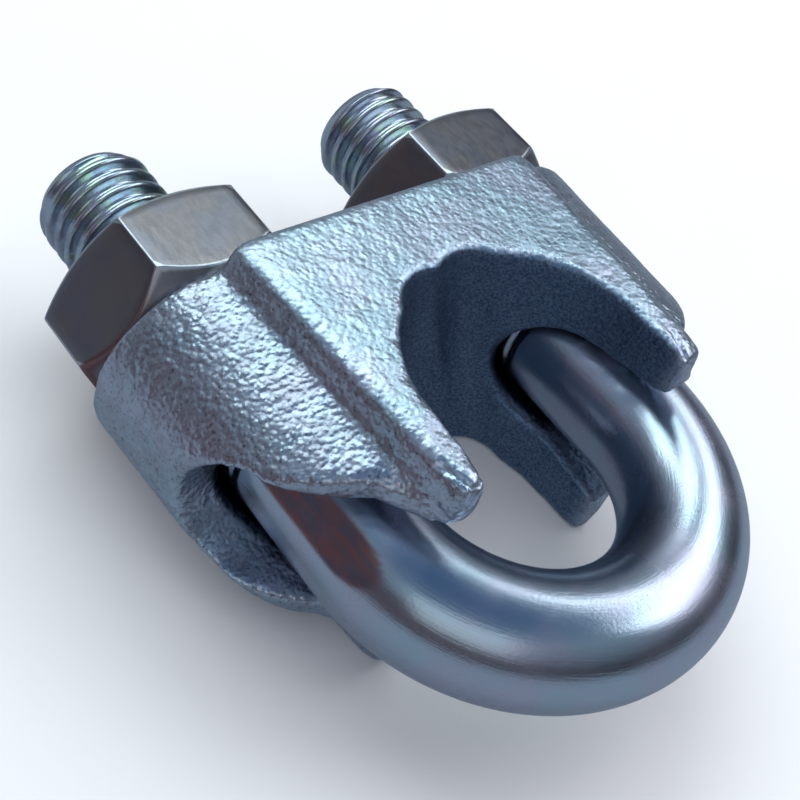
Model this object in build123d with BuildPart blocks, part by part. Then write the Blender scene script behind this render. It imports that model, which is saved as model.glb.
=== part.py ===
from build123d import *
from math import cos, pi, radians, tan
import os

# Wire rope clip for one thread size: a U-bolt, a cast saddle and two hexagon nuts.
# X runs across the two legs, Y along the legs towards the nuts, Z along the rope.
# The origin is the axis of the saddle's rope groove, at the middle of the saddle.
# All sizes are millimetres.

# U-bolt
rod_radius = 5.0
leg_spacing = 27.5
bow_centre_y = -2.5
left_leg_end_y = 35.9
right_leg_end_y = 35.2
thread_start_y = 8.0
thread_pitch = 1.5
crest_radius = 4.87
thread_depth = 0.78
thread_root_width = 0.3
thread_mouth_width = 1.2
gap_overcut = 0.25
end_chamfer = 0.9

# Saddle
seat_y = 18.3
plate_half_z = 11.2
plate_top_half_x = 14.8
plate_foot_half_x = 13.6
plate_foot_y = -3.0
groove_radius = 10.3
boss_half_x = 10.0
boss_half_z = 9.2
boss_draft = 1.5
shoulder_y = 9.5
shoulder_lean = 0.6
cheek_x = 20.9
cheek_y = 2.9
cheek_foot_x = 15.6
cheek_foot_y = -1.7
cheek_end_x = 12.0
ear_reach_y = -8.6
ear_end_half_x = 12.9
left_ear_tip_y = -6.7
right_ear_tip_y = -4.9
groove_mouth_half_x = 10.7
leg_hole_radius = 5.5
slot_radius = 5.6
slot_centre_y = 2.6
slot_mouth_half_z = 7.6
edge_fillet = 0.7

# Strand marks: two shallow flutes in the groove, turned like the lay of a rope
flute_radius = 3.2
flute_depth = 0.75
flute_angles = (60.0, 90.0)
flute_lay_angle = 21.0

# Nuts
nut_across_flats = 17.0
nut_height = 8.0
nut_bore_radius = 4.95
nut_mouth_radius = 5.5
nut_top_face_radius = 8.2
nut_top_chamfer = 0.95
nut_seat_face_radius = 8.1
nut_seat_chamfer = 2.0

leg_x = leg_spacing / 2

# How far cutting and trimming shapes reach past what they cut or trim
beyond = 1.0
corner_margin = 0.02

leg_names = {"left": -leg_x, "right": leg_x}


def make_threaded_end(thread_length):
    """A threaded leg end, standing on the XZ plane with its free end towards +Y."""
    mean_radius = crest_radius - thread_depth / 2
    with BuildPart() as tooth_gap:
        with BuildLine() as thread_line:
            Helix(
                pitch=thread_pitch,
                height=thread_length,
                radius=mean_radius,
                center=(0, 2 * thread_pitch, 0),
                direction=(0, 1, 0),
            )
        start = thread_line.line @ 0
        outward = Vector(start.X, 0, start.Z).normalized()
        with BuildSketch(Plane(origin=start, x_dir=outward, z_dir=thread_line.line % 0)):
            with BuildLine():
                Polyline(
                    (-thread_depth / 2, -thread_root_width / 2),
                    (thread_depth / 2 + gap_overcut, -thread_mouth_width / 2),
                    (thread_depth / 2 + gap_overcut, thread_mouth_width / 2),
                    (-thread_depth / 2, thread_root_width / 2),
                    close=True,
                )
            make_face()
        sweep(path=thread_line.line, is_frenet=True)
    # The gap runs on past the leg's end, and the bevelled end trims both
    with BuildPart() as threaded_end:
        with BuildSketch(Plane.XZ):
            Circle(crest_radius)
        extrude(amount=-thread_length - 4 * thread_pitch)
        add(tooth_gap.part, mode=Mode.SUBTRACT)
        with BuildSketch(Plane.XY):
            with BuildLine():
                Polyline(
                    (0, 0),
                    (crest_radius + beyond, 0),
                    (crest_radius + beyond, thread_length - end_chamfer - beyond),
                    (crest_radius - end_chamfer, thread_length),
                    (0, thread_length),
                    close=True,
                )
            make_face()
        revolve(axis=Axis.Y, mode=Mode.INTERSECT)
    return threaded_end.part


def make_u_bolt():
    """Round rod bent to a U, with both ends threaded and one leg a little longer."""
    left_end = make_threaded_end(left_leg_end_y - thread_start_y)
    right_end = make_threaded_end(right_leg_end_y - thread_start_y)
    with BuildPart() as u_bolt:
        with BuildLine() as rod_line:
            Line((-leg_x, thread_start_y), (-leg_x, bow_centre_y))
            CenterArc((0, bow_centre_y), leg_x, 180, 180)
            Line((leg_x, bow_centre_y), (leg_x, thread_start_y))
        with BuildSketch(Plane(origin=(-leg_x, thread_start_y, 0), z_dir=(0, -1, 0))):
            Circle(rod_radius)
        sweep(path=rod_line.line)
        with Locations((-leg_x, thread_start_y, 0)):
            add(left_end)
        with Locations((leg_x, thread_start_y, 0)):
            add(right_end)
    u_bolt.part.label = "u_bolt"
    return u_bolt.part


def make_cheeks():
    """The two rounded outer cheeks around the leg holes, narrowing to the ear tips."""
    outer_x = leg_x + boss_half_x
    shoulder = (outer_x - shoulder_lean, shoulder_y)
    cheek_foot = (cheek_foot_x, cheek_foot_y)
    with BuildPart() as cheeks:
        with BuildSketch(Plane.XZ.offset(-seat_y)):
            with Locations((-leg_x, 0), (leg_x, 0)):
                Ellipse(boss_half_x, boss_half_z)
            Rectangle(leg_spacing, 2 * boss_half_z)
        extrude(amount=seat_y - ear_reach_y, taper=boss_draft)
        with BuildSketch(Plane.XY):
            with BuildLine():
                Line((0, seat_y), (outer_x, seat_y))
                Line((outer_x, seat_y), shoulder)
                ThreePointArc(shoulder, (cheek_x, cheek_y), cheek_foot)
                Line(cheek_foot, (cheek_end_x, ear_reach_y))
                Line((cheek_end_x, ear_reach_y), (0, ear_reach_y))
                Line((0, ear_reach_y), (0, seat_y))
            make_face()
            mirror(about=Plane.YZ)
        extrude(amount=2 * boss_half_z, both=True, mode=Mode.INTERSECT)
    return cheeks.part


def make_flute(angle):
    """One strand's bed: a round bar on a slow helix about the rope's axis."""
    helix_radius = groove_radius - flute_radius + flute_depth
    lay_length = 2 * pi * groove_radius / tan(radians(flute_lay_angle))
    height = 2 * (plate_half_z + beyond)
    start_angle = angle - 180 * height / lay_length
    with BuildPart() as flute:
        with BuildLine() as bed_line:
            Helix(lay_length, height, helix_radius, center=(0, 0, -height / 2))
        with BuildSketch(Plane(origin=bed_line.line @ 0, z_dir=bed_line.line % 0)):
            Circle(flute_radius)
        sweep(path=bed_line.line, is_frenet=True)
    return flute.part.rotate(Axis.Z, start_angle)


def make_saddle():
    """Cast saddle: a flat nut seat, a rope groove and two ears that straddle each leg."""
    cheeks = make_cheeks()
    flutes = [make_flute(angle) for angle in flute_angles]
    tip_slope = (right_ear_tip_y - left_ear_tip_y) / leg_spacing
    with BuildPart() as saddle:
        with BuildSketch(Plane.XY.offset(-plate_half_z)):
            with BuildLine():
                Polyline(
                    (0, seat_y),
                    (plate_top_half_x, seat_y),
                    (plate_foot_half_x, plate_foot_y),
                    (ear_end_half_x, ear_reach_y),
                    (0, ear_reach_y),
                    close=True,
                )
            make_face()
            mirror(about=Plane.YZ)
        extrude(amount=2 * plate_half_z)
        add(cheeks)

        # Rope groove: a half round that opens out a little towards the ear tips
        with BuildSketch(Plane.XY.offset(-plate_half_z - beyond)):
            Circle(groove_radius)
            with BuildLine():
                Polyline(
                    (-groove_radius, 0),
                    (groove_radius, 0),
                    (groove_mouth_half_x, ear_reach_y - beyond),
                    (-groove_mouth_half_x, ear_reach_y - beyond),
                    close=True,
                )
            make_face()
        extrude(amount=2 * (plate_half_z + beyond), mode=Mode.SUBTRACT)

        add(flutes, mode=Mode.SUBTRACT)

        # Leg holes and the arched slots between the ears
        with BuildSketch(Plane.XZ.offset(-seat_y - beyond)):
            with Locations((-leg_x, 0), (leg_x, 0)):
                Circle(leg_hole_radius)
        extrude(amount=seat_y + beyond - slot_centre_y, mode=Mode.SUBTRACT)
        with BuildSketch(Plane.YZ):
            with Locations((slot_centre_y, 0)):
                Circle(slot_radius)
            with BuildLine():
                Polyline(
                    (slot_centre_y, -slot_radius),
                    (slot_centre_y, slot_radius),
                    (ear_reach_y - beyond, slot_mouth_half_z),
                    (ear_reach_y - beyond, -slot_mouth_half_z),
                    close=True,
                )
            make_face()
        extrude(amount=leg_x + boss_half_x + beyond, both=True, mode=Mode.SUBTRACT)

        # The casting is uneven: the left pair of ears reaches further than the right
        with BuildSketch(Plane.XY):
            with BuildLine():
                Polyline(
                    (-leg_spacing, left_ear_tip_y - tip_slope * (leg_spacing - leg_x)),
                    (leg_spacing, right_ear_tip_y + tip_slope * (leg_spacing - leg_x)),
                    (leg_spacing, ear_reach_y - leg_x),
                    (-leg_spacing, ear_reach_y - leg_x),
                    close=True,
                )
            make_face()
        extrude(amount=plate_half_z + beyond, both=True, mode=Mode.SUBTRACT)

        # The plates' outer edges are cast round; the groove's edges stay sharp
        levels = saddle.edges().group_by(Axis.Z)
        face_edges = levels[0] + levels[-1]
        clear_of_groove = groove_radius + beyond
        outer_edges = face_edges.filter_by(
            lambda edge: edge.distance_to((0, 0, edge.center().Z)) > clear_of_groove
        )
        fillet(outer_edges, edge_fillet)
    saddle.part.label = "saddle"
    return saddle.part


def make_nut(name, x):
    """Hexagon nut, chamfered at both ends, sitting on the saddle's seat."""
    trim_radius = nut_across_flats / 2 / cos(pi / 6) + corner_margin
    top_y = seat_y + nut_height
    with BuildPart() as nut:
        with BuildSketch(Plane.XZ.offset(-seat_y)):
            with Locations((x, 0)):
                RegularPolygon(nut_across_flats / 2, 6, major_radius=False, rotation=0)
        extrude(amount=-nut_height)
        with BuildSketch(Plane.XY):
            with BuildLine():
                Polyline(
                    (x, seat_y),
                    (x + nut_seat_face_radius, seat_y),
                    (x + trim_radius, seat_y + nut_seat_chamfer),
                    (x + trim_radius, top_y - nut_top_chamfer),
                    (x + nut_top_face_radius, top_y),
                    (x, top_y),
                    close=True,
                )
            make_face()
        revolve(axis=Axis((x, 0, 0), (0, 1, 0)), mode=Mode.INTERSECT)
        with BuildSketch(Plane.XZ.offset(-seat_y + beyond)):
            with Locations((x, 0)):
                Circle(nut_bore_radius)
        extrude(amount=-nut_height - 2 * beyond, mode=Mode.SUBTRACT)
        bore_edges = nut.edges().filter_by(GeomType.CIRCLE).sort_by(SortBy.RADIUS)[0:2]
        chamfer(bore_edges, nut_mouth_radius - nut_bore_radius)
    nut.part.label = f"nut_{name}"
    return nut.part


os.makedirs("parts", exist_ok=True)
pieces = [make_u_bolt(), make_saddle()]
pieces += [make_nut(name, x) for name, x in leg_names.items()]
for piece in pieces:
    export_step(piece, f"parts/{piece.label}.step")
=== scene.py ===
import math

import bmesh
import bpy
import numpy as np
from mathutils import Matrix, Vector, noise


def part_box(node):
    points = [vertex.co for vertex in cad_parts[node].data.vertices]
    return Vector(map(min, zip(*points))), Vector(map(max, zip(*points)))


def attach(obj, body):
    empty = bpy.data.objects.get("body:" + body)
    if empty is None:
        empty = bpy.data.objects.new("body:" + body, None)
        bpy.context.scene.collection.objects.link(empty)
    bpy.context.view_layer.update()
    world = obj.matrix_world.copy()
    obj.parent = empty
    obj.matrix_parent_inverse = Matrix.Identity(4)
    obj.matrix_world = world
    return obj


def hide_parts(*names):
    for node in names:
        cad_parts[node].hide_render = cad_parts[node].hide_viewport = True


# Looks of a wire rope clip: a zinc-plated U-bolt with rolled threads, a rough cast
# saddle and two hexagon nuts. Metres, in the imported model's own frame: X across the
# legs, Y along them towards the nuts, Z along the rope.

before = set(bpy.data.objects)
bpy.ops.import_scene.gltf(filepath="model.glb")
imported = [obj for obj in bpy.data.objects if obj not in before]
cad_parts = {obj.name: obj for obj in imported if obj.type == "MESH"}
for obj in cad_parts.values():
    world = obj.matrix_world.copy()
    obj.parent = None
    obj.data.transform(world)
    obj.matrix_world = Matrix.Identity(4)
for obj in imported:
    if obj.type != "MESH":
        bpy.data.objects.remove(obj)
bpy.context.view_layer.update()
MM = 0.001

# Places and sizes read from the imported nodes
bolt_low, bolt_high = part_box("u_bolt")
saddle_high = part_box("saddle")[1]
nut_low, nut_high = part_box("nut_right")
rod_radius = bolt_high.z
leg_x = bolt_high.x - rod_radius
bow_centre_y = bolt_low.y + rod_radius + leg_x
left_leg_end_y = bolt_high.y
seat_y = nut_low.y
nut_top_y = nut_high.y
nut_flat_radius = nut_high.z
plate_half_z = saddle_high.z

# The right leg is a little shorter than the left one, which sets the U-bolt's box
right_leg_end_y = 35.2 * MM

# Thread, as cut on the legs and in the nuts
thread_pitch = 1.5 * MM
thread_start_y = 8.0 * MM
thread_phase_y = 11.0 * MM
crest_radius = 4.87 * MM
thread_depth = 0.72 * MM
root_half_width = 0.12 * MM
mouth_half_width = 0.64 * MM
nut_thread_clearance = 0.1 * MM
nut_thread_depth = 0.55 * MM

# How finely the rod is divided: round it, along a pitch, a plain leg and the bend
points_around_rod = 96
rings_per_pitch = 18
plain_leg_rings = 40
bend_rings = 130

# How much of the thread's depth is left at a leg's end, after wear
worn_end_share = 0.55

# Nuts: chamfers at both ends, the radii where they start, and the bore's mouth
seat_bevel = 2.0 * MM
top_bevel = 0.95 * MM
seat_face_radius = 8.1 * MM
top_face_radius = 8.2 * MM
nut_mouth_radius = 5.5 * MM
corner_wear = 0.09 * MM
points_per_flat = 22

# Saddle: the groove and the plates' edges, which lean in from the seat downwards
groove_radius = 10.3 * MM
plate_edge_seat_x = 14.8 * MM
plate_edge_slope = 0.056
casting_voxel = 0.24 * MM


def smoothstep(low, high, value):
    """0 below low, 1 above high and smooth between, for arrays."""
    t = np.clip((value - low) / (high - low), 0.0, 1.0)
    return t * t * (3 - 2 * t)


def noise_at(points, size, seed):
    """Smooth noise from about -1 to 1 at each point, with lumps of the given size."""
    offset = Vector((seed * 7.3, seed * 3.1, seed * 5.7))
    return np.array([noise.noise(Vector(point) + offset) for point in points / size])


def add_object(name, mesh):
    """A scene object for a mesh, smooth shaded."""
    mesh.shade_smooth()
    piece = bpy.data.objects.new(name, mesh)
    bpy.context.scene.collection.objects.link(piece)
    return piece


def set_attribute(mesh, name, values):
    """Stores one number per vertex, which a material reads by name."""
    layer = mesh.attributes.new(name, "FLOAT", "POINT")
    layer.data.foreach_set("value", values.astype(np.float32))


def vertex_array(source, field):
    """A vector of each vertex or vertex normal, as an array with one row each."""
    values = np.zeros(len(source) * 3, np.float32)
    source.foreach_get(field, values)
    return values.reshape(-1, 3).astype(float)


def points_and_normals(mesh):
    """Vertex positions and vertex normals as two arrays."""
    return vertex_array(mesh.vertices, "co"), vertex_array(mesh.vertex_normals, "vector")


def move_points(mesh, points):
    """Puts the mesh's vertices at the given points."""
    mesh.vertices.foreach_set("co", points.astype(np.float32).ravel())
    mesh.update()


def ring_faces(first, second, around):
    """Quads between two rings of points, given the index that each ring starts at."""
    step = np.arange(around)
    after = (step + 1) % around
    corners = [first + step, first + after, second + after, second + step]
    return np.stack(corners, 1).tolist()


def closed_mesh(name, points, faces):
    """A mesh from points and faces, with every face turned outwards."""
    mesh = bpy.data.meshes.new(name)
    mesh.from_pydata(points.tolist(), [], faces)
    shape = bmesh.new()
    shape.from_mesh(mesh)
    bmesh.ops.recalc_face_normals(shape, faces=shape.faces)
    shape.to_mesh(mesh)
    shape.free()
    return mesh


# ---------------------------------------------------------------- U-bolt

def thread_shape(height, turn):
    """Depth of the thread's groove, 0 to 1, at a height and an angle about the leg."""
    phase = (height - thread_phase_y) / thread_pitch - turn / (2 * math.pi)
    from_groove = np.abs(phase - np.round(phase)) * thread_pitch
    return 1 - smoothstep(root_half_width, mouth_half_width, from_groove)


def leg_heights(end_y):
    """Heights of the rings along one leg, close together where it is threaded."""
    fine = thread_pitch / rings_per_pitch
    threaded = np.arange(end_y, thread_start_y - thread_pitch, -fine)
    plain = np.linspace(threaded[-1] - fine, bow_centre_y, plain_leg_rings)
    return np.concatenate([threaded, plain])


def rod_stations():
    """Centre, outward direction and leg end, or none in the bend, at each ring."""
    left = leg_heights(left_leg_end_y)
    right = leg_heights(right_leg_end_y)
    bend = np.linspace(math.pi, 2 * math.pi, bend_rings)[1:-1]
    stations = [((-leg_x, y), (-1.0, 0.0), left_leg_end_y) for y in left]
    for angle in bend:
        outward = (math.cos(angle), math.sin(angle))
        centre = (leg_x * outward[0], bow_centre_y + leg_x * outward[1])
        stations.append((centre, outward, None))
    stations += [((leg_x, y), (1.0, 0.0), right_leg_end_y) for y in right[::-1]]
    return stations


def threaded_radius(theta, centre, end_y):
    """A leg's radius around one ring, and how far its thread has begun there, 0 to 1."""
    height = centre[1]
    turn = theta - math.pi / 2 if centre[0] < 0 else math.pi / 2 - theta
    fade = smoothstep(thread_start_y - thread_pitch, thread_start_y + thread_pitch, height)
    from_end = end_y - height
    worn = worn_end_share + (1 - worn_end_share) * smoothstep(0.2 * MM, 2.6 * MM, from_end)
    depth = thread_depth * worn * thread_shape(height, turn)
    outer = rod_radius - fade * (rod_radius - crest_radius)
    bevelled = outer - 0.8 * MM * (1 - smoothstep(0.0, 1.2 * MM, from_end))
    return np.minimum(outer - fade * depth, bevelled), fade


def make_u_bolt():
    """Bent rod with worn rolled threads, bevelled ends and the marks of its bending."""
    around = points_around_rod
    theta = np.arange(around) * 2 * math.pi / around
    rings, threads, flow = [], [], []
    travelled = 0.0
    last = None
    for centre, outward, end_y in rod_stations():
        travelled += 0 if last is None else math.dist(centre, last)
        last = centre
        radius, threaded = np.full(around, rod_radius), 0.0
        if end_y:
            radius, threaded = threaded_radius(theta, centre, end_y)
        ring = np.zeros((around, 3))
        ring[:, 0] = centre[0] + outward[0] * radius * np.cos(theta)
        ring[:, 1] = centre[1] + outward[1] * radius * np.cos(theta)
        ring[:, 2] = radius * np.sin(theta)
        rings.append(ring)
        threads.append(np.full(around, threaded))
        flow.append(np.stack([theta * rod_radius, np.full(around, travelled)], 1))
    left_cap = cap_rings(rings[0], np.array([-leg_x, left_leg_end_y, 0.0]))[::-1]
    right_cap = cap_rings(rings[-1], np.array([leg_x, right_leg_end_y, 0.0]))

    def capped(rows, centres):
        """Rows for all rings and the two cap centres, each cap like its nearest ring."""
        before = [rows[0]] * len(left_cap)
        behind = [rows[-1]] * len(right_cap)
        return np.concatenate(before + rows + behind + [centres])

    flow = capped(flow, np.zeros((2, 2)))
    mesh = skin_of_rings("u_bolt_rod", left_cap + rings + right_cap)
    set_attribute(mesh, "thread", capped(threads, np.ones(2)))
    set_attribute(mesh, "flow_around", flow[:, 0])
    set_attribute(mesh, "flow_along", flow[:, 1])
    shape_rod_surface(mesh)
    return add_object("u_bolt_rod", mesh)


def cap_rings(edge, centre):
    """Rings that close a leg's end, from just inside its edge to near the centre."""
    return [centre + (edge - centre) * share for share in (0.93, 0.8, 0.6, 0.4, 0.2)]


def skin_of_rings(name, rings):
    """A closed mesh through a row of rings, each end closed by a fan."""
    around = len(rings[0])
    points = np.concatenate(rings + [rings[0].mean(0)[None], rings[-1].mean(0)[None]])
    faces = []
    for ring in range(len(rings) - 1):
        faces += ring_faces(ring * around, (ring + 1) * around, around)
    step = np.arange(around)
    after = (step + 1) % around
    first_centre = len(rings) * around
    last_ring = first_centre - around
    fans = (
        (after, step, first_centre),
        (last_ring + step, last_ring + after, first_centre + 1),
    )
    for one, other, centre in fans:
        faces += np.stack([one, other, np.full(around, centre)], 1).tolist()
    return closed_mesh(name, points, faces)


def press_flat(points, normals, direction, depth, ahead, behind):
    """How far points sink to a flat pressed into the left leg, facing a direction."""
    axis = np.array(direction) / np.linalg.norm(direction)
    reach = (points - np.array((-leg_x, 0.0, 0.0))) @ axis
    on_left = smoothstep(7 * MM, 9 * MM, -points[:, 0])
    along = smoothstep(ahead[0], ahead[1], points[:, 1])
    along *= 1 - smoothstep(behind[0], behind[1], points[:, 1])
    over = np.maximum(reach - (rod_radius - depth), 0.0)
    return over * on_left * along / np.maximum(normals @ axis, 0.5)


def shape_rod_surface(mesh):
    """Two flats, rubbed spots and faint unevenness, pressed inwards into the rod."""
    points, normals = points_and_normals(mesh)
    plain = 1 - np.array([v.value for v in mesh.attributes["thread"].data])
    push = -0.008 * MM * (0.5 + 0.5 * noise_at(points, 3 * MM, 1))
    push -= 0.003 * MM * (0.5 + 0.5 * noise_at(points, 0.7 * MM, 2))
    # Flats left by the bending die on the outer and upper sides of the left leg
    behind = (6 * MM, 7 * MM)
    side = press_flat(points, normals, (-0.97, 0.0, -0.10), 0.10 * MM, (-9 * MM, -4 * MM), behind)
    top = press_flat(points, normals, (-0.76, 0.0, 0.65), 0.30 * MM, (-8 * MM, -2.4 * MM), behind)
    push -= np.maximum(side, top)
    # Rubbed places on the right leg, where it was held for bending
    for y, angle, size in ((2.5, 35, 1.3), (-0.6, 30, 1.5), (-3.8, 42, 1.7)):
        lean = math.radians(angle)
        spot_x = leg_x - rod_radius * math.sin(lean)
        spot = np.array([spot_x, y * MM, rod_radius * math.cos(lean)])
        distance = np.linalg.norm(points - spot, axis=1)
        push -= 0.035 * MM * (1 - smoothstep(0.3, 1.0, distance / (size * MM)))
    points += normals * (push * plain)[:, None]
    move_points(mesh, points)
    set_attribute(mesh, "flat", np.clip(top / (0.03 * MM), 0, 1) * plain)


# ---------------------------------------------------------------- Nuts

def nut_outline(angle):
    """Radius of the hexagon at an angle, with its corners slightly worn round."""
    sector = (angle + math.pi / 6) % (math.pi / 3) - math.pi / 6
    sharp = nut_flat_radius / np.cos(sector)
    return np.minimum(sharp, nut_flat_radius / math.cos(math.pi / 6) - corner_wear)


def bore_profile(angles):
    """Radius and height of the rings up the nut's threaded bore, with its two mouths."""
    bore_major = crest_radius + nut_thread_clearance
    lead = nut_mouth_radius - bore_major + nut_thread_depth
    mouth_slope = 1.2 * nut_mouth_radius / (nut_mouth_radius + lead)
    fine = thread_pitch / rings_per_pitch
    heights = np.linspace(seat_y, nut_top_y, int((nut_top_y - seat_y) / fine) + 1)
    profile = [(nut_mouth_radius, seat_y)]
    for y in heights[1:-1]:
        # Known fault: the teeth stand at the leg's crests and cut into them
        tooth = 1 - thread_shape(np.full(len(angles), y), angles)
        sink = min(y - seat_y, nut_top_y - y)
        threaded = bore_major - nut_thread_depth * tooth
        profile.append((np.maximum(threaded, nut_mouth_radius - sink * mouth_slope), y))
    profile.append((nut_mouth_radius, nut_top_y))
    return profile


def make_nut(name, x):
    """Hexagon nut with chamfered ends and a real internal thread of the leg's pitch."""
    # Angles run about +Y from +Z towards +X, with flats facing +Z and -Z
    corner = math.pi / 6
    steps = np.linspace(-corner, corner, points_per_flat + 1)[:-1]
    angles = np.concatenate([steps + side * math.pi / 3 for side in range(6)])
    outline = nut_outline(angles)
    corner_radius = nut_flat_radius / math.cos(corner)
    seat_reach = (outline - seat_face_radius) / (corner_radius - seat_face_radius)
    top_reach = (outline - top_face_radius) / (corner_radius - top_face_radius)
    low = seat_y + seat_bevel * seat_reach
    high = nut_top_y - top_bevel * top_reach

    # One closed loop of rings: up the bore, out over the top, down the flats, back in
    profile = bore_profile(angles)
    for share in (0.5, 1.0):
        width = top_face_radius - nut_mouth_radius
        profile.append((nut_mouth_radius + width * share, nut_top_y))
    for share in np.linspace(0.0, 1.0, 9):
        profile.append((outline, high + (low - high) * share))
    for share in (0.0, 0.5):
        width = nut_mouth_radius - seat_face_radius
        profile.append((seat_face_radius + width * share, seat_y))
    rings = []
    for radius, height in profile:
        across, up = radius * np.sin(angles), radius * np.cos(angles)
        rings.append(np.stack([x + across, np.full(len(angles), height), up], 1))
    points = np.concatenate(rings)
    around = len(angles)
    faces = []
    for index in range(len(rings)):
        faces += ring_faces(index * around, (index + 1) % len(rings) * around, around)
    mesh = closed_mesh(name, points, faces)
    mark_nut_edges(mesh, points, x, np.tile(low, len(rings)), np.tile(high, len(rings)))
    piece = add_object(name, mesh)
    bevel = piece.modifiers.new("worn_edges", "BEVEL")
    bevel.width = 0.13 * MM
    bevel.segments = 2
    bevel.limit_method = "ANGLE"
    bevel.angle_limit = math.radians(26)
    piece.modifiers.new("flat_faces", "WEIGHTED_NORMAL")
    return piece


def mark_nut_edges(mesh, points, x, low, high):
    """Attributes for the dark red line painted as a reflection by the seat chamfer, and for the
    worn edges painted bright as a highlight.
    """
    # Painted reflection: a dark red line along the seat chamfer, on each nut's -X side only
    radius = np.hypot(points[:, 0] - x, points[:, 2])
    outer = smoothstep(6.5 * MM, 7.5 * MM, radius)
    left_side = np.clip((x - points[:, 0]) / nut_flat_radius, 0, 1)
    near_chamfer = np.exp(-((points[:, 1] - low) / (0.22 * MM)) ** 2)
    set_attribute(mesh, "rim_reflection", near_chamfer * outer * left_side)
    # Painted highlight: the corner lines and the chamfers' edges are marked, to be painted bright
    # on top of their wear
    on_edge = (np.arange(len(points)) % points_per_flat == 0) & (radius > 9 * MM)
    for line in (low, high):
        on_edge |= np.isclose(points[:, 1], line, atol=1e-8)
    set_attribute(mesh, "worn", on_edge * outer)


# ---------------------------------------------------------------- Saddle

def relax(points, edges, weight, rounds):
    """Moves each point towards its neighbours' mean by its weight, round after round."""
    ends = np.concatenate([edges, edges[:, ::-1]])
    degree = np.bincount(ends[:, 0], minlength=len(points))
    for _ in range(rounds):
        for axis in range(3):
            total = np.bincount(ends[:, 0], points[ends[:, 1], axis], len(points))
            points[:, axis] += weight * (total / degree - points[:, axis])


def make_saddle():
    """The casting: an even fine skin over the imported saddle, rounded and roughened."""
    source = bpy.data.objects.new("saddle_source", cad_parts["saddle"].data.copy())
    bpy.context.scene.collection.objects.link(source)
    voxels = source.modifiers.new("voxels", "REMESH")
    voxels.mode = "VOXEL"
    voxels.voxel_size = casting_voxel
    graph = bpy.context.evaluated_depsgraph_get()
    mesh = bpy.data.meshes.new_from_object(source.evaluated_get(graph))
    bpy.data.objects.remove(source)
    mesh.name = "saddle_casting"
    mesh.materials.clear()
    round_casting(mesh)
    roughen_casting(mesh)
    return add_object("saddle_casting", mesh)


def round_casting(mesh):
    """Softens all edges a little, and the step from plate to cheek into a wide cove."""
    points = vertex_array(mesh.vertices, "co")
    edges = np.zeros(len(mesh.edges) * 2, np.int32)
    mesh.edges.foreach_get("vertices", edges)
    edges = edges.reshape(-1, 2)
    x, y, z = np.abs(points[:, 0]), points[:, 1].copy(), np.abs(points[:, 2])
    share = 1
    relax(points, edges, np.full(len(points), 0.5), 14 // share)
    plate_edge_x = plate_edge_seat_x - plate_edge_slope * (seat_y - y)
    past_edge = (x - plate_edge_x) / MM
    cove = np.exp(-((past_edge - 0.4) / 1.5) ** 2) * smoothstep(6.8 * MM, 8.4 * MM, z)
    tip = (1 - smoothstep(-5.6 * MM, -3.0 * MM, y)) * smoothstep(6.0 * MM, 7.0 * MM, z)
    relax(points, edges, 0.5 * np.maximum(cove, 0.5 * tip), 70 // share ** 2)
    move_points(mesh, points)


def roughen_casting(mesh):
    """Moves the skin by casting grain, lumps at the ear tips and a wavy groove edge."""
    points, normals = points_and_normals(mesh)
    x, y, z = points.T
    from_axis = np.hypot(x, y)

    # Where each part of the casting is, from 0 to 1 at each point
    faces_out = smoothstep(0.6, 0.85, np.abs(normals[:, 2]))
    plate = faces_out * smoothstep(9.6 * MM, 10.4 * MM, np.abs(z))
    inward = -(normals[:, 0] * x + normals[:, 1] * y) / np.maximum(from_axis, MM)
    near_groove = 1 - smoothstep(groove_radius + 0.6 * MM, groove_radius + 1.6 * MM, from_axis)
    groove = near_groove * smoothstep(0.2, 0.6, inward) * smoothstep(-8 * MM, -7 * MM, y)
    leg_distance = np.hypot(np.abs(x) - leg_x, z)
    bore = (1 - smoothstep(6.0 * MM, 6.6 * MM, leg_distance)) * smoothstep(1 * MM, 4 * MM, y)
    at_seat = smoothstep(seat_y - 0.5 * MM, seat_y - 0.2 * MM, y)
    seat = at_seat * smoothstep(0.6, 0.9, normals[:, 1])
    tips = 1 - smoothstep(-4.6 * MM, -0.5 * MM, y)
    cheek = np.clip(1 - plate - groove - bore - seat, 0, 1)
    lip = np.exp(-((from_axis - groove_radius - 0.3 * MM) / (0.9 * MM)) ** 2) * plate

    # How far each point moves out, or in where it is negative
    grain = noise_at(points, 0.62 * MM, 3)
    waves = noise_at(points, 3.2 * MM, 5)
    lumps = noise_at(points, 1.5 * MM, 6)
    creases = 1 - smoothstep(0.0, 0.12, np.abs(noise_at(points, 2.4 * MM, 7)))
    push = 0.038 * MM * grain * (plate + 0.5 * groove + 0.9 * cheek)
    push += 0.05 * MM * waves * (plate + cheek)
    push += 0.15 * MM * lumps * tips * (plate + 0.6 * cheek)
    push -= 0.25 * MM * creases * tips * (plate + 0.5 * cheek)
    push += 0.12 * MM * noise_at(points, 1.3 * MM, 8) * lip
    # The seat stays clear of the nuts, and nothing sinks below the floor
    push = np.where(seat > 0, np.minimum(push, 0) * (1 - seat) - 0.03 * MM * seat, push)
    push *= 1 - bore
    points += normals * push[:, None]
    points[:, 2] = np.maximum(points[:, 2], -plate_half_z)
    move_points(mesh, points)
    set_attribute(mesh, "plate", plate)
    set_attribute(mesh, "groove", groove)
    set_attribute(mesh, "bore", bore)


# ---------------------------------------------------------------- Materials

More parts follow.
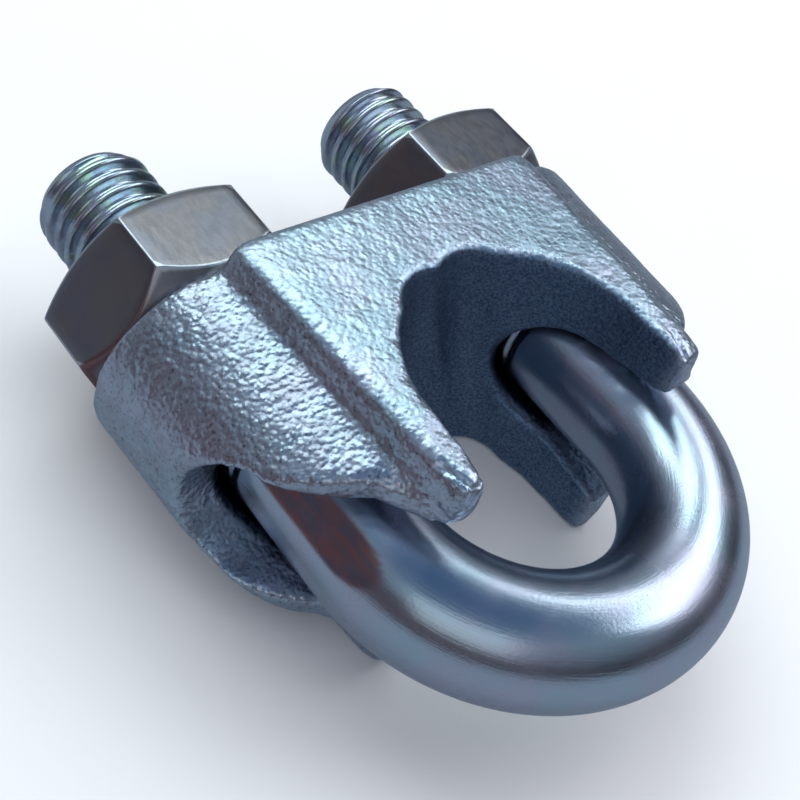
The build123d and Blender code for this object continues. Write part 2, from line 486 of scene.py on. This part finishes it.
class Surface:
    """A material, a metal at first, with short calls for the nodes that vary it."""

    def __init__(self, name, roughness):
        self.material = bpy.data.materials.new(name)
        self.material.use_nodes = True
        self.nodes = self.material.node_tree.nodes
        self.links = self.material.node_tree.links
        self.shader = self.nodes["Principled BSDF"]
        self.shader.inputs["Metallic"].default_value = 1.0
        self.shader.inputs["Roughness"].default_value = roughness
        self.place = self.nodes.new("ShaderNodeTexCoord").outputs["Object"]

    def join(self, value, socket):
        """Links a node's output to a socket, or sets a plain value on it."""
        if isinstance(value, bpy.types.NodeSocket):
            self.links.new(value, socket)
        else:
            socket.default_value = value

    def noise(self, size, detail=2.0, rough=0.5, place=None, stretch=None):
        """Noise from 0 to 1 with lumps of the given size in metres."""
        place = place or self.place
        if stretch:
            scaling = self.nodes.new("ShaderNodeMapping")
            scaling.inputs["Scale"].default_value = stretch
            self.links.new(place, scaling.inputs["Vector"])
            place = scaling.outputs["Vector"]
        node = self.nodes.new("ShaderNodeTexNoise")
        node.inputs["Scale"].default_value = 1 / size
        node.inputs["Detail"].default_value = detail
        node.inputs["Roughness"].default_value = rough
        self.links.new(place, node.inputs["Vector"])
        return node.outputs["Fac"]

    def pits(self, size):
        """Distance to the nearest of many scattered points, for pits and specks."""
        node = self.nodes.new("ShaderNodeTexVoronoi")
        node.inputs["Scale"].default_value = 1 / size
        self.links.new(self.place, node.inputs["Vector"])
        return node.outputs["Distance"]

    def beads(self, size):
        """Distance to the nearest of many scattered points, blended round like beads."""
        node = self.nodes.new("ShaderNodeTexVoronoi")
        node.feature = "SMOOTH_F1"
        node.inputs["Scale"].default_value = 1 / size
        node.inputs["Smoothness"].default_value = 0.5
        self.links.new(self.place, node.inputs["Vector"])
        return node.outputs["Distance"]

    def attribute(self, name):
        node = self.nodes.new("ShaderNodeAttribute")
        node.attribute_name = name
        return node.outputs["Fac"]

    def math(self, operation, first, second=0.0):
        node = self.nodes.new("ShaderNodeMath")
        node.operation = operation
        self.join(first, node.inputs[0])
        self.join(second, node.inputs[1])
        return node.outputs[0]

    def spread(self, value, low, high, out_low=0.0, out_high=1.0):
        """Maps low..high to out_low..out_high, smoothly and clamped."""
        node = self.nodes.new("ShaderNodeMapRange")
        node.interpolation_type = "SMOOTHSTEP"
        self.join(value, node.inputs["Value"])
        node.inputs["From Min"].default_value = low
        node.inputs["From Max"].default_value = high
        node.inputs["To Min"].default_value = out_low
        node.inputs["To Max"].default_value = out_high
        return node.outputs["Result"]

    def mix(self, amount, first, second):
        """Blend of two colours."""
        node = self.nodes.new("ShaderNodeMix")
        node.data_type = "RGBA"
        self.join(amount, node.inputs["Factor"])
        for value, socket in ((first, node.inputs["A"]), (second, node.inputs["B"])):
            colour = (*value, 1.0) if isinstance(value, tuple) else value
            self.join(colour, socket)
        return node.outputs["Result"]

    def colour(self, value):
        self.join(value, self.shader.inputs["Base Color"])

    def roughness(self, value):
        self.join(value, self.shader.inputs["Roughness"])

    def bump(self, height, distance):
        """Fine relief below the mesh's own detail. Height is in units of distance."""
        node = self.nodes.new("ShaderNodeBump")
        node.inputs["Distance"].default_value = distance
        node.inputs["Strength"].default_value = 1.0
        self.links.new(height, node.inputs["Height"])
        self.links.new(node.outputs["Normal"], self.shader.inputs["Normal"])


def rod_zinc():
    """Bright plate on drawn rod: blurry streaks, drawing lines and passivation tints."""
    metal = Surface("zinc_rod_plate", 0.2)
    combine = metal.nodes.new("ShaderNodeCombineXYZ")
    metal.join(metal.attribute("flow_around"), combine.inputs[0])
    metal.join(metal.attribute("flow_along"), combine.inputs[1])
    rod_flow = combine.outputs[0]
    lines = metal.noise(0.14 * MM, 3.0, 0.6, rod_flow, (1.0, 0.05, 1.0))
    clouds = metal.noise(5 * MM, 3.0)
    patches = metal.noise(1.6 * MM, 4.0, 0.6)
    specks = metal.spread(metal.pits(0.5 * MM), 0.04, 0.15, 1.0, 0.0)
    thread = metal.attribute("thread")

    blue_grey, lilac_grey = (0.42, 0.53, 0.61), (0.49, 0.51, 0.62)
    colour = metal.mix(metal.spread(clouds, 0.35, 0.65), blue_grey, lilac_grey)
    tint = metal.math("MULTIPLY", metal.spread(patches, 0.50, 0.62), thread)
    yellow_green = (0.50, 0.66, 0.46)
    colour = metal.mix(metal.math("MULTIPLY", tint, 0.55), colour, yellow_green)
    stain = metal.math("MULTIPLY", metal.spread(patches, 0.46, 0.36), thread)
    dull_violet = (0.24, 0.24, 0.31)
    colour = metal.mix(metal.math("MULTIPLY", stain, 0.4), colour, dull_violet)

    cloudy = metal.spread(clouds, 0.2, 0.5, 0.6, 1.0)
    flat = metal.math("MULTIPLY", metal.attribute("flat"), cloudy)
    streaks = metal.noise(0.9 * MM, 3.0, 0.6, rod_flow, (1.0, 0.22, 1.0))
    slate, rust_brown = (0.20, 0.24, 0.32), (0.46, 0.22, 0.19)
    rust = metal.mix(metal.spread(streaks, 0.36, 0.62), slate, rust_brown)
    colour = metal.mix(metal.math("MULTIPLY", flat, 0.75), colour, rust)

    dark = metal.math("MULTIPLY", specks, metal.spread(patches, 0.4, 0.6, 0.1, 0.5))
    colour = metal.mix(dark, colour, (0.16, 0.18, 0.24))
    metal.colour(colour)
    metal.roughness(metal.spread(clouds, 0.3, 0.7, 0.21, 0.29))
    fine = metal.noise(0.25 * MM, 2.0)
    relief = metal.math("ADD", lines, metal.math("MULTIPLY", fine, 0.7))
    metal.bump(relief, 0.010 * MM)
    return metal.material


def cast_zinc():
    """Plate on sand-cast iron: beady grain, dark grit, painted shade in the rope groove and the
    bores, and a patchy painted reflection off the plates.
    """
    metal = Surface("zinc_cast_plate", 0.26)
    plate = metal.attribute("plate")
    groove = metal.attribute("groove")
    clouds = metal.noise(6 * MM, 3.0)
    patches = metal.noise(1.6 * MM, 4.0, 0.6)

    blue_grey, lilac_grey = (0.44, 0.57, 0.66), (0.50, 0.56, 0.67)
    colour = metal.mix(metal.spread(clouds, 0.35, 0.65), blue_grey, lilac_grey)
    not_plate = metal.math("SUBTRACT", 1.0, plate)
    # Painted reflection, in patches: off the plates the colour is drawn towards purple-grey, for
    # the dark room that the cheeks mirror
    painted_reflection_tint = metal.math("MULTIPLY", not_plate, metal.spread(patches, 0.4, 0.6, 0.15, 0.45))
    colour = metal.mix(painted_reflection_tint, colour, (0.40, 0.38, 0.45))
    specks = metal.spread(metal.pits(0.55 * MM), 0.06, 0.20, 1.0, 0.0)
    sparse = metal.math("MULTIPLY", specks, metal.spread(patches, 0.46, 0.60))
    colour = metal.mix(metal.math("MULTIPLY", sparse, 0.7), colour, (0.08, 0.08, 0.12))
    grit = metal.spread(metal.noise(0.30 * MM, 3.0, 0.7), 0.52, 0.70, 0.0, 0.75)
    off_plate = metal.math("SUBTRACT", 1.0, metal.math("MULTIPLY", plate, 0.7))
    colour = metal.mix(metal.math("MULTIPLY", grit, off_plate), colour, (0.13, 0.13, 0.17))

    sand = metal.noise(0.22 * MM, 2.0, 0.6)
    # Painted shade: the rope groove is painted dark navy to slate blue, with a sandy mottle, for
    # the shade in its hollow
    dark_navy, slate_blue = (0.07, 0.12, 0.22), (0.20, 0.29, 0.40)
    groove_painted_shade = metal.mix(metal.spread(sand, 0.35, 0.65), dark_navy, slate_blue)
    colour = metal.mix(metal.math("MULTIPLY", groove, 0.92), colour, groove_painted_shade)
    # Painted shade: the bores that the legs pass through are painted near black
    colour = metal.mix(metal.attribute("bore"), colour, (0.03, 0.04, 0.07))
    metal.colour(colour)

    rough = metal.spread(patches, 0.3, 0.7, 0.29, 0.37)
    metal.roughness(metal.math("ADD", rough, metal.math("MULTIPLY", groove, 0.18)))
    smoother = metal.math("MULTIPLY", metal.math("MAXIMUM", groove, plate), -0.4)
    coarse = metal.math("MULTIPLY", metal.noise(0.60 * MM, 1.0, 0.4), 0.6)
    beads = metal.math("MULTIPLY", metal.beads(0.42 * MM), -0.55)
    relief = metal.math("ADD", coarse, beads)
    relief = metal.math("ADD", relief, metal.math("MULTIPLY", sand, 0.16))
    amount = metal.math("ADD", smoother, 1.0)
    metal.bump(metal.math("MULTIPLY", relief, amount), 0.115 * MM)
    return metal.material


def nut_zinc():
    """Satin grey plate on a machined nut: scuffs, worn edges painted bright as a highlight, and a
    dark red line painted as a reflection by the seat chamfer.
    """
    metal = Surface("zinc_nut_plate", 0.32)
    clouds = metal.noise(3 * MM, 3.0, 0.5)
    scuffs = metal.noise(0.35 * MM, 3.0, 0.6, None, (1.0, 0.3, 1.0))
    cool_grey, warm_grey = (0.19, 0.19, 0.22), (0.215, 0.20, 0.205)
    colour = metal.mix(metal.spread(clouds, 0.35, 0.65), cool_grey, warm_grey)
    # Painted highlight: the marked edges are painted pale, for the light that their small bevels
    # catch
    worn = metal.spread(metal.attribute("worn"), 0.72, 0.95, 0.0, 0.8)
    colour = metal.mix(worn, colour, (0.62, 0.66, 0.70))
    # Painted reflection: the dark red line by the seat chamfer
    rim_reflection = metal.spread(metal.attribute("rim_reflection"), 0.4, 0.9, 0.0, 0.8)
    colour = metal.mix(rim_reflection, colour, (0.16, 0.03, 0.03))
    metal.colour(colour)
    metal.roughness(metal.spread(scuffs, 0.3, 0.7, 0.28, 0.38))
    metal.bump(metal.math("ADD", scuffs, metal.noise(0.12 * MM, 2.0)), 0.006 * MM)
    return metal.material


def paper(name, colour):
    """Matt floor of the given colour, with the faint unevenness of paper."""
    sheet = Surface(name, 0.8)
    sheet.shader.inputs["Metallic"].default_value = 0.0
    mottle = sheet.noise(12 * MM, 3.0)
    sheet.colour(sheet.mix(mottle, tuple(0.98 * part for part in colour), colour))
    return sheet.material


# ---------------------------------------------------------------- Studio

def make_floor():
    """A wide pale floor that the saddle's back face rests on, and its reflected twin."""
    half = 0.8
    corners = [(-half, -half, 0), (half, -half, 0), (half, half, 0), (-half, half, 0)]
    colours = {"floor": (0.94, 0.94, 0.94), "floor_in_reflections": (0.63, 0.73, 0.83)}
    sheets = []
    for name, colour in colours.items():
        mesh = bpy.data.meshes.new(name)
        mesh.from_pydata(corners, [], [(0, 1, 2, 3)])
        mesh.materials.append(paper(name + "_paper", colour))
        sheet = bpy.data.objects.new(name, mesh)
        bpy.context.scene.collection.objects.link(sheet)
        sheet.location = (0, 0, -plate_half_z - 0.02 * MM)
        sheets.append(sheet)
    # Metal mirrors the lower sheet, which is dimmer and bluer, as in a room with dark sides
    floor, dim = sheets
    dim.location.z -= 0.05 * MM
    floor.visible_glossy = False
    floor.visible_shadow = False
    dim.visible_camera = False
    dim.visible_diffuse = False
    dim.visible_shadow = False


def soft_box(name, direction, distance, size, radiance, colour):
    """A rectangular soft light that faces the clip, as bright as given in reflections."""
    data = bpy.data.lights.new(name, "AREA")
    data.shape = "RECTANGLE"
    data.size, data.size_y = size
    data.energy = radiance * math.pi * size[0] * size[1]
    data.color = colour
    light = bpy.data.objects.new(name, data)
    towards = Vector(direction).normalized()
    light.location = towards * distance
    light.rotation_mode = "QUATERNION"
    light.rotation_quaternion = towards.to_track_quat("Z", "Y")
    bpy.context.scene.collection.objects.link(light)
    return light


def make_room():
    """Surroundings: a dim dome, dark low down, warmer at -X and paler at +Y."""
    world = bpy.data.worlds.new("room")
    bpy.context.scene.world = world
    world.use_nodes = True
    nodes = world.node_tree.nodes
    links = world.node_tree.links
    direction = nodes.new("ShaderNodeTexCoord").outputs["Generated"]
    split = nodes.new("ShaderNodeSeparateXYZ")
    links.new(direction, split.inputs[0])
    ramp = nodes.new("ShaderNodeValToRGB")
    links.new(split.outputs["Z"], ramp.inputs["Fac"])
    stops = (
        (0.0, (0.16, 0.17, 0.20)),
        (0.10, (0.075, 0.070, 0.085)),
        (0.22, (0.050, 0.036, 0.046)),
        (0.42, (0.15, 0.17, 0.21)),
        (0.75, (0.27, 0.33, 0.40)),
        (1.0, (0.07, 0.13, 0.26)),
    )
    elements = ramp.color_ramp.elements
    while len(elements) < len(stops):
        elements.new(0.5)
    for element, (place, colour) in zip(elements, stops):
        element.position = place
        element.color = (*colour, 1.0)

    def band(axis, start, end):
        """0 to 1 as a direction's X, Y or Z goes from start to end."""
        node = nodes.new("ShaderNodeMapRange")
        node.interpolation_type = "SMOOTHSTEP"
        links.new(split.outputs[axis], node.inputs["Value"])
        node.inputs["From Min"].default_value = start
        node.inputs["From Max"].default_value = end
        return node.outputs["Result"]

    def tint(base, first, second, colour):
        """Blends a colour in where both bands are strong."""
        both = nodes.new("ShaderNodeMath")
        both.operation = "MULTIPLY"
        links.new(first, both.inputs[0])
        links.new(second, both.inputs[1])
        blend = nodes.new("ShaderNodeMix")
        blend.data_type = "RGBA"
        links.new(both.outputs[0], blend.inputs["Factor"])
        links.new(base, blend.inputs["A"])
        blend.inputs["B"].default_value = (*colour, 1.0)
        return blend.outputs["Result"]

    room = ramp.outputs["Color"]
    room = tint(room, band("X", -0.45, -0.85), band("Z", 0.62, 0.48), (0.12, 0.085, 0.105))
    room = tint(room, band("Y", 0.35, 0.75), band("Z", 0.45, 0.25), (0.24, 0.25, 0.28))
    # The camera sees a pale backdrop past the floor, and the metal mirrors the dome
    seen = nodes.new("ShaderNodeLightPath").outputs["Is Camera Ray"]
    backdrop = nodes.new("ShaderNodeMix")
    backdrop.data_type = "RGBA"
    links.new(seen, backdrop.inputs["Factor"])
    links.new(room, backdrop.inputs["A"])
    backdrop.inputs["B"].default_value = (0.80, 0.82, 0.86, 1.0)
    links.new(backdrop.outputs["Result"], nodes["Background"].inputs["Color"])


def make_lights():
    """Key overhead, a side light, a dim fill, and a wash that only pales the floor."""
    soft_box("key_box", (0.11, 0.55, 0.83), 0.40, (0.38, 0.18), 2.6, (0.86, 1.0, 1.0))
    soft_box("side_box", (0.69, -0.16, 0.71), 0.45, (0.42, 0.17), 2.6, (0.94, 0.95, 1.0))
    soft_box("fill_box", (-0.60, -0.50, 0.62), 0.42, (0.30, 0.24), 0.50, (0.95, 0.99, 1.0))
    wash = soft_box("floor_wash", (0.05, 0.15, 1.0), 1.2, (2.4, 2.4), 0.82, (1.0, 0.95, 0.94))
    wash.visible_glossy = False


def make_camera():
    """Three-quarter view from above the bow's left side, rolled as the clip is seen."""
    azimuth, elevation, roll = (math.radians(v) for v in (-56.68, 46.43, 24.09))
    back = Vector((
        math.sin(azimuth) * math.cos(elevation),
        -math.cos(azimuth) * math.cos(elevation),
        math.sin(elevation),
    ))
    level = Vector((math.cos(azimuth), math.sin(azimuth), 0.0))
    upright = back.cross(level)
    right = level * math.cos(roll) + upright * math.sin(roll)
    up = upright * math.cos(roll) - level * math.sin(roll)
    target = Vector((-6.79, 5.17, 4.47)) * MM
    distance = 98.66 * MM
    data = bpy.data.cameras.new("camera")
    data.sensor_width = 36.0
    data.lens = 61.8
    data.clip_start = 5 * MM
    data.clip_end = 5.0
    camera = bpy.data.objects.new("camera", data)
    turn = Matrix((right, up, back)).transposed().to_4x4()
    camera.matrix_world = Matrix.Translation(target + back * distance) @ turn
    bpy.context.scene.collection.objects.link(camera)
    bpy.context.scene.camera = camera


# ---------------------------------------------------------------- Assembly

def place(piece, body, node, slot, material):
    """Gives a piece its material and body, and hides the imported node it stands for. The slot is
    not used.
    """
    piece.data.materials.clear()
    piece.data.materials.append(material)
    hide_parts(node)
    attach(piece, body)


make_camera()
make_room()
make_lights()
make_floor()
scene = bpy.context.scene
scene.view_settings.view_transform = "Standard"

place(make_u_bolt(), "u_bolt", "u_bolt", "zinc_rod", rod_zinc())
place(make_saddle(), "saddle", "saddle", "zinc_casting", cast_zinc())
nut_metal = nut_zinc()
place(make_nut("nut_left_hex", -leg_x), "nut_left", "nut_left", "zinc_nut", nut_metal)
place(make_nut("nut_right_hex", leg_x), "nut_right", "nut_right", "zinc_nut", nut_metal)
